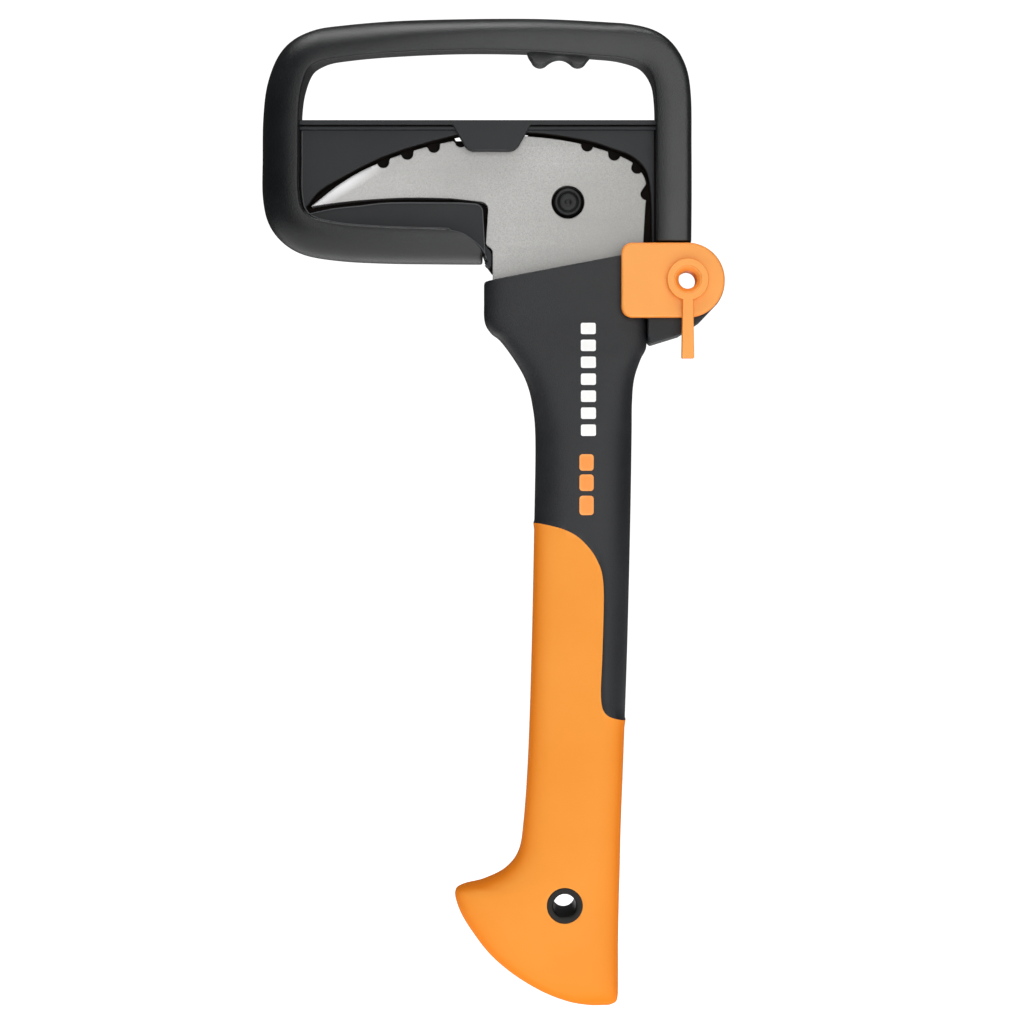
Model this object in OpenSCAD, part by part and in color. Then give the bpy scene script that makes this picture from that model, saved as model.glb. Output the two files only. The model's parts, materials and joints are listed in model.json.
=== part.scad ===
// Short log-lifting pick (sappie) with its clip-on blade guard and carrying handle.
// Frame: origin at the centre of the hanging hole, +Z up the handle to the head,
// +X away from the beak, +Y towards the back. The blade's mid-plane is Y = 0.

/* [Blade] */
// Thickness of the steel plate
blade_t = 5; // [4:0.5:6]
// Radius of the round hole that the guard's button fits
blade_hole_r = 6.5; // [6:0.1:7]
// Radius of the round notches along the back of the blade
notch_r = 1.9; // [1.4:0.1:2.2]

/* [Handle] */
// Thickness of the soft grip over the core
grip_t = 3; // [2:0.5:4]
// Half thickness of the handle at its head
head_half_depth = 9.8; // [9:0.2:10]
// Half thickness of the handle in the palm
palm_half_depth = 13; // [12:0.2:14]
// Width of the lightening hollow inside the core
hollow_w = 20; // [14:1:22]
// Depth of the lightening hollow inside the core
hollow_d = 12; // [8:1:13]
// Radius of the hanging hole
hang_hole_r = 4.5; // [4:0.1:5]
// Outer radius of the bush in the hanging hole
hang_bush_r = 7.1; // [6.5:0.1:8]

/* [Guard] */
// Half depth of the carrying ring, front to back
ring_half_depth = 12; // [11.5:0.5:13]
// Wall thickness of the guard's mouldings
wall = 2.2; // [1.8:0.1:2.6]
// Where the back cover meets the guard body
split_y = 6; // [5.6:0.2:7]
// Front face of the flat web
web_front = -4.8; // [-5.4:0.1:-4.4]
// Front face of the rail and of the tab over the blade
rail_front = -6.6; // [-7.4:0.1:-6]
// Front face of the floor behind the blade
floor_front = 3; // [2.8:0.1:3.4]
// Height of the top of the rail
rail_top = 310.8; // [309:0.2:312]
// Radius of the button in the blade's hole
button_r = 5.3; // [4.8:0.1:6]

/* [Latch] */
// Pivot of the latch, in X
hub_x = 48.3; // [48:0.1:48.6]
// Pivot of the latch, in Z
hub_z = 246.6; // [246.2:0.1:247]
// Radius of the round end of the plate
latch_r = 14.8; // [14:0.1:15]
// Reach of the plate from the pivot over the handle
latch_reach = 26; // [22:0.5:27]
// Thickness of the plate
latch_t = 3; // [2.6:0.1:3.2]
// Radius of the hollow pivot pin
pin_r = 5.6; // [5:0.1:6]
// Radius of the hole through the pivot pin
latch_hole_r = 3.55; // [3:0.05:3.8]
// Radius of the raised ring round the pivot
boss_r = 8.2; // [7.6:0.1:9]
// Width of the thumb lever
lever_w = 4.4; // [3.6:0.2:5]
// Reach of the thumb lever from the pivot
lever_reach = 31; // [28:0.5:33]

/* [Hidden] */
$fn = 64;

running_gap = 0.06;
pin_back = -5.6;
seat_front = -10.2;
seat_back = seat_front + 3;
latch_back = -10.8;
latch_front = latch_back - latch_t;
boss_front = latch_front - 2.6;
lever_back = -12.6;
blade_hole = [1.5, 278.8];
latch_x0 = hub_x - latch_reach;
head_top_left = 246.6;
head_top_right = 258.9;
cover_section_n = 2.8;
edge_bite = 0.1;
spigot_x = [39, 48];
spigot_z = [257.4, 263.8];
spigot_top = 275;

// Ribs of the handle from the head to the pommel: left x, left z, right x, right z, half depth.
ribs = [
    [-32, head_top_left, 32.8, head_top_right, head_half_depth],
    [-32, 239, 32.8, 245, head_half_depth],
    [-31.8, 231.4, 32.8, 233, head_half_depth],
    [-29.4, 227, 32.8, 226.4, 10.2],
    [-25.4, 223.6, 32.6, 220.4, 10.6],
    [-19.8, 216, 30.4, 215.8, 11.2],
    [-15.4, 208, 27.9, 208, 11.6],
    [-12.8, 198.5, 27.1, 198.5, 11.8],
    [-11.5, 184, 27, 184, 12],
    [-12, 148, 26.4, 148, 12.4],
    [-13, 100, 25.2, 100, 12.8],
    [-14.4, 58, 23.7, 58, palm_half_depth],
    [-16.3, 31, 22.7, 31, palm_half_depth],
    [-18.4, 19.4, 22.4, 19, palm_half_depth],
    [-24, 12.3, 22.2, 10, palm_half_depth],
    [-33, 7.9, 22, 4, palm_half_depth],
    [-41, 5.9, 21.9, -1, palm_half_depth],
    [-43.6, 3.2, 21.8, -5.5, palm_half_depth],
    [-41.6, -4, 21.7, -11, palm_half_depth],
    [-36.8, -12, 21.6, -17, 12.8],
    [-29.5, -21.3, 21.6, -24, 12.3],
    [-20, -29.3, 21.6, -30, 11.2],
    [-9, -35.9, 21.6, -35, 9.4],
    [1, -39.9, 21.3, -38.8, 6.6],
    [9, -41.6, 19.2, -41.2, 3.2],
    [13.4, -42, 15.6, -42, 0.6],
];

// Middle line of the carrying ring, from the end under the beak round to the latch: x, z, half width.
ring_nodes = [
    [-32.6, 260.6, 6.2], [-50, 260.9, 6.4], [-72, 261.4, 6.6], [-90, 262.6, 6.8],
    [-103, 265.4, 7.2], [-110.2, 271.6, 7.6], [-112.7, 281, 7.75], [-112.8, 296, 7.75],
    [-112.6, 312, 7.7], [-111, 325, 7.6], [-106.4, 335.6, 7.4], [-98, 341, 7.2],
    [-86, 343.1, 7], [-66, 344.7, 6.9], [-40, 345.5, 6.7], [-12, 345.3, 6.9],
    [10, 344, 7.2], [24, 342.6, 7.3], [34.6, 338.9, 7.4], [40.8, 331, 7.3],
    [43.1, 320, 7.2], [43.4, 300, 7.15], [43.5, 281, 7.1], [43.4, 262, 7.05],
];

// Which nodes of the ring carry a screw boss.
screw_nodes = [2, 7, 10, 14, 18, 22];
screw_head_r = 2.8;
screw_r = 1.4;
screw_boss_r = 3.4;
screw_seat = 8.4;
screw_tip = -3;

// Back edge of the blade, from the point of the beak over the head to the right edge.
blade_back = [
    [-100.8, 277.2], [-89.4, 286.1], [-77.4, 292.9], [-62, 298.8], [-45.5, 303],
    [-28, 305.2], [-13.6, 305], [2.3, 303], [16.3, 299.4], [26.4, 295.2], [31, 290.6],
    [32.9, 285], [32.4, 276],
];

// Under edge of the beak, from the throat to the point.
beak_under = [
    [-33.2, 279.2], [-45, 280.2], [-62, 280.5], [-80, 279.6], [-92, 278.3], [-100.8, 277],
];

// Centres of the round notches, and the side on which each one is steep.
notches = [
    [-72, 294.4, 1], [-62.4, 297.6, 1], [-51.8, 300.4, 1], [-41, 302.6, 1],
    [9.2, 301, -1], [20, 297.4, -1], [29, 292.2, -1], [32.6, 282, -1],
];

// Curve between the black core and the soft grip on the handle's face.
grip_line = [
    [-14, 151], [-8.9, 150.5], [0.2, 148.1], [6.8, 144], [12.6, 136.4], [15.2, 126],
    [14.8, 100], [14.2, 82], [16.4, 75.2], [23, 72.6],
];

// Upper edge of the pocket for the blade, from the beak to the right edge.
pocket_upper = [
    [-102.6, 276.4], [-97.4, 283], [-88, 288.8], [-76, 295], [-64, 299.6], [-50, 303.6],
    [-40, 305.8], [-28, 306.6], [-8, 305.9], [10, 302.9], [19, 300], [26, 297.4],
    [31.2, 293.2], [33.6, 288], [34.6, 280],
];

// Upper edge of the lower jaw, from the throat to the left end.
jaw_upper = [[-36, 277.7], [-41.5, 278.3], [-69, 278.3], [-81, 277.1], [-92, 275.9], [-103, 273.6]];

// Catmull-Rom curve through a list of points, with a number of steps between neighbours.
function between(p, i, t) =
    let (a = p[max(i - 1, 0)], b = p[i], c = p[i + 1], d = p[min(i + 2, len(p) - 1)])
    0.5 * (2 * b + (c - a) * t + (2 * a - 5 * b + 4 * c - d) * t ^ 2 + (3 * b - a - 3 * c + d) * t ^ 3);
function smooth(p, steps) = [
    for (i = [0 : len(p) - 2], j = [0 : steps - 1]) between(p, i, j / steps),
    p[len(p) - 1],
];

// Points along an arc round a centre, from one angle to another.
function arc(c, r, from, to, steps) =
    [for (k = [0 : steps]) let (a = from + (to - from) * k / steps) c + r * [cos(a), sin(a)]];

function unit(v) = v / norm(v);
function power(v, e) = sign(v) * pow(abs(v), e);

// Point at an angle round a superellipse of half sizes a and b.
function superellipse(a, b, n, angle) = [a * power(cos(angle), 2 / n), b * power(sin(angle), 2 / n)];

// Right-hand normal of a line at a station: it points into the ring.
function inward(line, i) =
    let (p = line[max(i - 1, 0)], q = line[min(i + 1, len(line) - 1)], t = unit([q[0] - p[0], q[1] - p[1]]))
    [t[1], -t[0]];

// Point beside a station of the ring, u towards the inside and y to the back.
function ring_point(line, i, u, y) =
    let (n = inward(line, i))
    [line[i][0] + n[0] * u, y, line[i][1] + n[1] * u];

// Angle on the section at which it reaches the split plane, for a given half depth.
function split_angle(depth) = asin(pow(split_y / depth, cover_section_n / 2));

// Closed solid through rings of points that all have the same count.
module loft(rings) {
    n = len(rings);
    m = len(rings[0]);
    sides = [for (i = [0 : n - 2], j = [0 : m - 1])
        let (k = (j + 1) % m) each [
            [i * m + j, i * m + k, (i + 1) * m + k],
            [i * m + j, (i + 1) * m + k, (i + 1) * m + j]]];
    first = [for (j = [m - 1 : -1 : 0]) j];
    last = [for (j = [0 : m - 1]) (n - 1) * m + j];
    polyhedron([for (r = rings, p = r) p], concat(sides, [first, last]));
}

// Extrudes an outline drawn in X and Z from one Y to another.
module slab(y0, y1) {
    translate([0, y1, 0])
        rotate([90, 0, 0])
            linear_extrude(y1 - y0)
                children();
}

// Round bar along Y at a place in X and Z.
module rod(at, r, y0, y1) {
    translate([at[0], y1, at[1]])
        rotate([90, 0, 0])
            cylinder(h = y1 - y0, r = r);
}

// Handle's outer form, shrunk by an inset.
module handle_form(inset, first, last) {
    line = smooth([for (i = [first : last]) ribs[i]], 2);
    loft([for (r = line)
        let (
            mid = [(r[0] + r[2]) / 2, (r[1] + r[3]) / 2],
            half = [(r[2] - r[0]) / 2, (r[3] - r[1]) / 2],
            u = unit(half))
        [for (k = [0 : 23])
            let (s = superellipse(norm(half) - inset, r[4] - inset, 2.5, k * 15))
            [mid[0] + u[0] * s[0], s[1], mid[1] + u[1] * s[0]]]]);
}

module hollow_outline() {
    straight = (hollow_w - hollow_d) / 2;
    square([2 * straight, hollow_d], center = true);
    for (side = [-1, 1])
        translate([side * straight, 0])
            circle(d = hollow_d);
}

module hollow(z0, z1) {
    translate([4, 0, z0])
        linear_extrude(z1 - z0)
            hollow_outline();
}

module black_zone() {
    slab(-20, 20)
        polygon(concat([[-60, 151]], smooth(grip_line, 4), [[60, 72.6], [60, 280], [-60, 280]]));
}

module notch(x, z, steep) {
    lift = x > 24 ? 38 : 0;
    translate([x, z])
        circle(r = notch_r);
    translate([x, z])
        rotate(-lift)
            polygon([[0, -notch_r * 0.8], [steep * notch_r, 0], [steep * notch_r, 4],
                [-steep * 4, 4], [-steep * 3.4, notch_r * 0.7]]);
}

module blade_outline() {
    difference() {
        polygon(concat(
            smooth(blade_back, 4),
            [[31.2, 252], [24, 224], [18, 192], [0, 192], [-8, 222], [-28.6, 246]],
            [[-28.6, 259.4], [-31.4, 261.8], [-30.5, 274], [-31.2, 277.6]],
            smooth(beak_under, 3)));
        translate(blade_hole)
            circle(r = blade_hole_r);
        for (n = notches)
            notch(n[0], n[1], n[2]);
        for (z = [204, 222])
            translate([8, z])
                circle(r = 4);
    }
}

module blade() {
    color("silver")
        slab(-blade_t / 2, blade_t / 2)
            blade_outline();
}

module handle_core() {
    color("dimgray")
        difference() {
            union() {
                intersection() {
                    handle_form(0, 0, len(ribs) - 1);
                    black_zone();
                }
                handle_form(grip_t, 7, len(ribs) - 4);
            }
            hollow(-50, 178);
            slab(-blade_t / 2, blade_t / 2)
                blade_outline();
            rod([0, 0], hang_bush_r, -20, 20);
        }
}

module core_end_plug() {
    color("dimgray")
        intersection() {
            handle_form(grip_t, len(ribs) - 9, len(ribs) - 4);
            hollow(-50, -18);
        }
}

module soft_grip() {
    color("orange")
        difference() {
            handle_form(0, 7, len(ribs) - 1);
            black_zone();
            handle_form(grip_t, 7, len(ribs) - 4);
            rod([0, 0], hang_bush_r, -20, 20);
        }
}

module hang_bush() {
    half = palm_half_depth - 0.1;
    lead = 1;
    color("dimgray")
        difference() {
            rod([0, 0], hang_bush_r, -half, half);
            rod([0, 0], hang_hole_r, -20, 20);
            for (side = [0, 1])
                mirror([0, side, 0])
                    translate([0, -half - 0.01, 0])
                        rotate([-90, 0, 0])
                            cylinder(h = lead, r1 = hang_hole_r + lead, r2 = hang_hole_r);
        }
}

// Shell of the ring: a band of the section between two angles, one wall thick, open at both ends.
module ring_band(from, to, inner_from, inner_to) {
    line = smooth(ring_nodes, 3);
    loft([for (i = [0 : len(line) - 1])
        let (
            hw = line[i][2],
            outer = [for (k = [0 : 9])
                superellipse(hw, ring_half_depth, cover_section_n, from + (to - from) * k / 9)],
            inner = [for (k = [9 : -1 : 0])
                superellipse(hw - wall, ring_half_depth - wall, cover_section_n,
                    inner_from + (inner_to - inner_from) * k / 9)])
        [for (s = concat(outer, inner)) ring_point(line, i, s[0], s[1])]]);
}

// Edge of the web along the ring, just inside the ring's surface.
function ring_inner_edge() =
    let (line = smooth(ring_nodes, 3))
    [for (i = [0 : len(line) - 1])
        if (line[i][0] < -30 && line[i][1] < rail_top)
            let (p = ring_point(line, i, line[i][2] - edge_bite, 0))
            [p[0], p[2]]];

module web_outline() {
    polygon(concat(
        [[-32.3, 263]],
        ring_inner_edge(),
        [[-105.2, rail_top], [36.4 + edge_bite, rail_top], [36.4 + edge_bite, 261.4], [33.4, 261.4]]));
}

module pocket_outline() {
    polygon(concat(
        smooth(pocket_upper, 3),
        [[34.9, 263], [34.9, 240], [-32.3, 240], [-32.3, 275.6], [-33.4, 277.2]],
        jaw_upper));
}

module pocket_wall_outline() {
    difference() {
        intersection() {
            web_outline();
            offset(delta = wall)
                pocket_outline();
        }
        pocket_outline();
    }
}

module floor_outline() {
    difference() {
        union() {
            intersection() {
                web_outline();
                translate([-120, 262])
                    square([160, 60]);
            }
            polygon([[36.4, 270], [36.4, 262.2], [33.4, 261.8], [-28.9, 250.6], [-32.3, 254.4], [-33, 264]]);
        }
        window_outline();
    }
}

// Foot that caps the ring's end beside the neck of the blade.
module foot_outline() {
    polygon([[-33, 262.4], [-32, 262.2], [-31.2, 261], [-29.3, 259.3], [-28.9, 258.6],
        [-28.9, 252], [-31.6, 254], [-32.5, 255.4]]);
}

// Opening in the floor behind the tab, which shows on both sides of the tab.
module window_outline() {
    polygon([[-45.4, 309], [-43.6, 304.4], [-39.8, 296.4], [-17.6, 296.4], [-14.2, 304.4], [-12.6, 309]]);
}

module rail_outline(depth) {
    translate([-105.2, rail_top - depth])
        square([141.6 + edge_bite, depth]);
}

module tab_outline() {
    polygon([[-44.8, rail_top], [-44.4, 309.1], [-42.6, 305.2], [-40, 300.2], [-38.8, 298.8],
        [-36.6, 298], [-21.4, 298], [-19.6, 298.6], [-18.2, 300.2], [-16, 303.8], [-13.4, 309.1],
        [-13, rail_top]]);
}

module housing_outline() {
    polygon(concat(
        [[50.6, 261.9], [33.4, 261.9]],
        arc([36, 224.4], 2.6, 180, 250, 5),
        [[45.8, 225.4], [54, 230.8]],
        arc([hub_x, hub_z], latch_r + 0.3, -38, 80, 18)));
}

module ring_front_shell() {
    outer = split_angle(ring_half_depth);
    inner = split_angle(ring_half_depth - wall);
    color("darkslategray")
        difference() {
            union() {
                ring_band(outer, -180 - outer, inner, -180 - inner);
                for (i = screw_nodes)
                    rod(ring_nodes[i], screw_boss_r, 2 - ring_half_depth, split_y);
            }
            translate([-14.6, -4.2, 336])
                cube([26.2, 8.4, 5]);
            for (i = screw_nodes)
                rod(ring_nodes[i], screw_r, screw_tip - 1, 20);
        }
}

module ring_back_shell() {
    outer = split_angle(ring_half_depth);
    inner = split_angle(ring_half_depth - wall);
    color("darkslategray")
        difference() {
            union() {
                ring_band(180 - outer, outer, 180 - inner, inner);
                for (i = screw_nodes)
                    rod(ring_nodes[i], screw_boss_r + 0.8, split_y, ring_half_depth - 0.6);
            }
            for (i = screw_nodes) {
                rod(ring_nodes[i], screw_r + 0.2, 0, 20);
                rod(ring_nodes[i], screw_head_r + 0.2, screw_seat, 20);
            }
        }
}

module blade_cradle() {
    back = web_front + wall;
    color("darkslategray")
        difference() {
            union() {
                slab(rail_front, web_front) {
                    rail_outline(1.6);
                    tab_outline();
                }
                slab(web_front, back) {
                    difference() {
                        web_outline();
                        pocket_outline();
                    }
                    tab_outline();
                }
                slab(back, floor_front)
                    union() {
                        pocket_wall_outline();
                        rail_outline(wall);
                    }
                slab(floor_front, floor_front + wall)
                    union() {
                        floor_outline();
                        pocket_wall_outline();
                        rail_outline(wall);
                    }
                difference() {
                    slab(seat_front, split_y)
                        housing_outline();
                    slab(seat_back, split_y + 1)
                        offset(delta = -wall)
                            housing_outline();
                }
                translate([spigot_x[0], -4, 259])
                    cube([spigot_x[1] - spigot_x[0], 8, spigot_top - 259]);
                translate([-44, -6.4, spigot_z[0]])
                    cube([12, split_y + 6, spigot_z[1] - spigot_z[0]]);
                slab(-3, floor_front + wall)
                    foot_outline();
            }
            rod([hub_x, hub_z], pin_r + running_gap, -20, 20);
            rod(blade_hole, 3, -20, 20);
        }
}

// Screw with a cross recess, driven from the back at one place on the ring.
module cover_screw(at) {
    color("silver")
        difference() {
            union() {
                rod(at, screw_head_r, screw_seat, screw_seat + 2);
                rod(at, screw_r, screw_tip, screw_seat);
            }
            for (turn = [0, 90])
                translate([at[0], screw_seat + 2, at[1]])
                    rotate([0, turn, 0])
                        cube([3.4, 2.2, 0.8], center = true);
        }
}

module cover_screws() {
    for (i = screw_nodes)
        cover_screw(ring_nodes[i]);
}

module finger_rest() {
    lobes = [[-14.4, 338.6], [-12.8, 335], [-10, 333.3], [-6.4, 334.7], [-2.4, 336.2],
        [1.6, 334.8], [5.4, 333.3], [8.6, 334.8], [11.4, 338.4]];
    color("darkslategray")
        slab(-4, 4)
            polygon(concat(smooth(lobes, 3), [[11.4, 340.6], [-14.4, 340.6]]));
}

module blade_button() {
    face = -3.6;
    color("black")
        difference() {
            union() {
                rod(blade_hole, button_r, face, floor_front);
                rod(blade_hole, 3, floor_front, floor_front + wall);
                rod(blade_hole, 4.6, floor_front + wall, floor_front + wall + 1.2);
            }
            difference() {
                rod(blade_hole, button_r - 0.9, face - 1, face + 1);
                rod(blade_hole, 3.5, face - 2, face + 2);
            }
            rod(blade_hole, 1.1, face - 1, face + 0.6);
        }
}

module latch_outline() {
    corner = 4.2;
    translate([hub_x, hub_z])
        circle(r = latch_r);
    translate([latch_x0 + corner, hub_z - latch_r])
        square([latch_reach - corner, 2 * latch_r]);
    translate([latch_x0, hub_z - latch_r + corner])
        square([latch_reach, 2 * (latch_r - corner)]);
    for (side = [-1, 1])
        translate([latch_x0 + corner, hub_z + side * (latch_r - corner)])
            circle(r = corner);
}

module latch() {
    lead = 0.9;
    color("orange")
        difference() {
            union() {
                slab(latch_front, latch_back)
                    latch_outline();
                rod([hub_x, hub_z], boss_r, boss_front, latch_front);
                rod([hub_x, hub_z], pin_r, latch_back, pin_back);
                translate([hub_x - lever_w / 2, boss_front, hub_z - latch_r - 2])
                    cube([lever_w, latch_front - boss_front, latch_r - boss_r + 4]);
                translate([hub_x - lever_w / 2, boss_front, hub_z - lever_reach])
                    cube([lever_w, lever_back - boss_front, lever_reach - latch_r + 1]);
            }
            rod([hub_x, hub_z], latch_hole_r, -30, 20);
            translate([hub_x, boss_front - 0.01, hub_z])
                rotate([-90, 0, 0])
                    cylinder(h = lead, r1 = latch_hole_r + lead, r2 = latch_hole_r);
        }
}

module latch_retainer() {
    color("dimgray")
        difference() {
            rod([hub_x, hub_z], pin_r + 2, seat_back + 0.1, seat_back + 1.3);
            rod([hub_x, hub_z], pin_r, -20, 20);
        }
}

module latch_washer() {
    color("black")
        difference() {
            rod([hub_x, hub_z], pin_r + 2.4, latch_back + 0.04, seat_front);
            rod([hub_x, hub_z], pin_r + running_gap, -20, 20);
        }
}

blade();
handle_core();
core_end_plug();
soft_grip();
hang_bush();
blade_cradle();
ring_front_shell();
ring_back_shell();
cover_screws();
finger_rest();
blade_button();
latch();
latch_retainer();
latch_washer();
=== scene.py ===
"""Looks of a short log-lifting pick held in its blade guard with a carrying ring.

Lengths below are in millimetres in the part's frame: origin in the centre of the hanging
hole, +X away from the beak, +Y to the back, +Z up the handle. They become metres in build().
"""

import json
import math

import bmesh
import bpy
import numpy as np
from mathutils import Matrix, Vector, geometry
from mathutils.bvhtree import BVHTree

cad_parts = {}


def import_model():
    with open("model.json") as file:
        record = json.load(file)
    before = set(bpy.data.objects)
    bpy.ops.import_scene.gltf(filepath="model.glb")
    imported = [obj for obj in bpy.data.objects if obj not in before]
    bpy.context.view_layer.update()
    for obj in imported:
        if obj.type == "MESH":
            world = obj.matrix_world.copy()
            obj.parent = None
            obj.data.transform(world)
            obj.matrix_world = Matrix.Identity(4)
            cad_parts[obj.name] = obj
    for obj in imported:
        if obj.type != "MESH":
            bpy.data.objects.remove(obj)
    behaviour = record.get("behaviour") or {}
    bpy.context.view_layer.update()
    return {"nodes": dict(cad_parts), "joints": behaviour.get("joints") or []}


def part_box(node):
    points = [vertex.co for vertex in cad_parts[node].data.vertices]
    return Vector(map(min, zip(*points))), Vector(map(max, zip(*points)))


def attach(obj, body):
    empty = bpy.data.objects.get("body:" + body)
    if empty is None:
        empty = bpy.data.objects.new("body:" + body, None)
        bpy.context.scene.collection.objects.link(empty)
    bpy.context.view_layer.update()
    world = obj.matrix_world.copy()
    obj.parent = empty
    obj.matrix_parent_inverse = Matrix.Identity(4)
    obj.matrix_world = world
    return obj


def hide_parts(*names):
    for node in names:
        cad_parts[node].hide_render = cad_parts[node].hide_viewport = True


MM = 0.001
TOOL = "tool_and_guard"
LATCH = "latch"

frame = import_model()
hinge = frame["joints"][0]["pos_m"]
hub = (hinge[0] / MM, hinge[2] / MM)


def centre_of(node):
    """Middle of a CAD node in X and Z, in millimetres."""
    low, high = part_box(node)
    return ((low.x + high.x) / 2 / MM, (low.z + high.z) / 2 / MM)


def depth_of(node):
    """Front and back of a CAD node in Y, in millimetres."""
    low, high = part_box(node)
    return low.y / MM, high.y / MM


def added(name, data):
    """A new object in the scene."""
    obj = bpy.data.objects.new(name, data)
    bpy.context.scene.collection.objects.link(obj)
    return obj


# ---------------------------------------------------------------- curves

def smooth(points, steps):
    """Catmull-Rom curve through points."""
    p = np.array(points, float)
    out = []
    for i in range(len(p) - 1):
        a, b, c, d = p[max(i - 1, 0)], p[i], p[i + 1], p[min(i + 2, len(p) - 1)]
        for k in range(steps):
            t = k / steps
            out.append(0.5 * (2 * b + (c - a) * t + (2 * a - 5 * b + 4 * c - d) * t ** 2
                              + (3 * b - a - 3 * c + d) * t ** 3))
    out.append(p[-1])
    return np.array(out)


def arc(centre, radius, start, end, steps):
    """Points along an arc, angles in degrees."""
    angles = np.radians(np.linspace(start, end, steps + 1))
    return np.array(centre) + radius * np.column_stack([np.cos(angles), np.sin(angles)])


def circle(centre, radius, steps=72):
    return arc(centre, radius, 0, 360, steps)[:-1]


def superellipse(a, b, n, degrees):
    t = np.radians(degrees)
    c, s = np.cos(t), np.sin(t)
    x = a * np.sign(c) * np.abs(c) ** (2 / n)
    y = b * np.sign(s) * np.abs(s) ** (2 / n)
    return np.column_stack([x, y])


def directions(path):
    """Unit vectors along a path, and across it to its right."""
    along = np.gradient(path, axis=0)
    along /= np.linalg.norm(along, axis=1)[:, None]
    return along, np.column_stack([along[:, 1], -along[:, 0]])


def resampled(loop, spacing):
    """A closed loop with no gap longer than spacing; its own points all stay."""
    loop = np.array(loop, float)
    out = []
    for i, p in enumerate(loop):
        q = loop[(i + 1) % len(loop)]
        count = max(1, int(math.ceil(np.linalg.norm(q - p) / spacing)))
        out += [p + (q - p) * k / count for k in range(count)]
    return np.array(out)


def area(loop):
    x, z = np.array(loop).T
    return 0.5 * float(np.sum(x * np.roll(z, -1) - np.roll(x, -1) * z))


def counterclockwise(loop, wanted=True):
    loop = np.array(loop, float)
    return loop if (area(loop) > 0) == wanted else loop[::-1]


def without_repeats(loop, least=0.02):
    loop = np.array(loop, float)
    keep = np.linalg.norm(loop - np.roll(loop, 1, axis=0), axis=1) > least
    return loop[keep]


def rounded(corners, radius, steps=6):
    """A polygon with its corners rounded; radius is one number or one for each corner."""
    corners = [np.array(c, float) for c in corners]
    radii = [radius] * len(corners) if np.isscalar(radius) else radius
    out = []
    for i, p in enumerate(corners):
        a = corners[i - 1] - p
        b = corners[(i + 1) % len(corners)] - p
        a, b = a / np.linalg.norm(a), b / np.linalg.norm(b)
        half = math.acos(max(-1, min(1, float(a @ b)))) / 2
        if radii[i] <= 0 or half > math.radians(88):
            out.append(p)
            continue
        reach = radii[i] / math.tan(half)
        start, end = p + a * reach, p + b * reach
        middle = p + (a + b) / np.linalg.norm(a + b) * radii[i] / math.sin(half)
        u = start - middle
        v = end - middle
        for k in range(steps + 1):
            t = k / steps
            w = u * (1 - t) + v * t
            out.append(middle + w / np.linalg.norm(w) * radii[i])
    return np.array(out)


def moved_in(loop, distance):
    """Each point of a loop moved to its left by distance, mitred at corners."""
    before = loop - np.roll(loop, 1, axis=0)
    after = np.roll(loop, -1, axis=0) - loop
    before /= np.linalg.norm(before, axis=1)[:, None]
    after /= np.linalg.norm(after, axis=1)[:, None]
    n1 = np.column_stack([-before[:, 1], before[:, 0]])
    n2 = np.column_stack([-after[:, 1], after[:, 0]])
    bisector = n1 + n2
    length = np.maximum(np.linalg.norm(bisector, axis=1), 1e-6)
    bisector /= length[:, None]
    mitre = 1 / np.maximum((bisector * n1).sum(1), 0.5)
    return loop + bisector * (np.asarray(distance) * mitre)[:, None]


def inside(point, loop):
    x, z = point
    a, b = loop, np.roll(loop, -1, axis=0)
    crosses = (a[:, 1] > z) != (b[:, 1] > z)
    with np.errstate(divide="ignore", invalid="ignore"):
        at = a[:, 0] + (z - a[:, 1]) * (b[:, 0] - a[:, 0]) / (b[:, 1] - a[:, 1])
    return bool(np.sum(crosses & (x < at)) % 2)


# ---------------------------------------------------------------- meshes

def build(name, vertices, faces, material, body=TOOL, node=None, sharp=40, weighted=False):
    """A closed mesh from millimetres, with outward faces, riding on a body and standing for a node."""
    mesh = bpy.data.meshes.new(name)
    mesh.from_pydata([Vector(v) * MM for v in vertices], [], [tuple(f) for f in faces])
    bm = bmesh.new()
    bm.from_mesh(mesh)
    bmesh.ops.remove_doubles(bm, verts=bm.verts, dist=2e-6)
    bmesh.ops.dissolve_degenerate(bm, edges=bm.edges, dist=1e-7)
    bmesh.ops.recalc_face_normals(bm, faces=bm.faces)
    bm.to_mesh(mesh)
    bm.free()
    finish_piece(added(name, mesh), material, body, node, sharp, weighted)


def finish_piece(obj, material, body, node, sharp, weighted):
    mesh = obj.data
    mesh.polygons.foreach_set("use_smooth", [True] * len(mesh.polygons))
    if sharp:
        mesh.set_sharp_from_angle(angle=math.radians(sharp))
    if weighted:
        modifier = obj.modifiers.new("weighted_normals", "WEIGHTED_NORMAL")
        modifier.keep_sharp = True
        modifier.weight = 80
    mesh.materials.clear()
    mesh.materials.append(material)
    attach(obj, body)
    if node:
        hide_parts(node)


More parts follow.
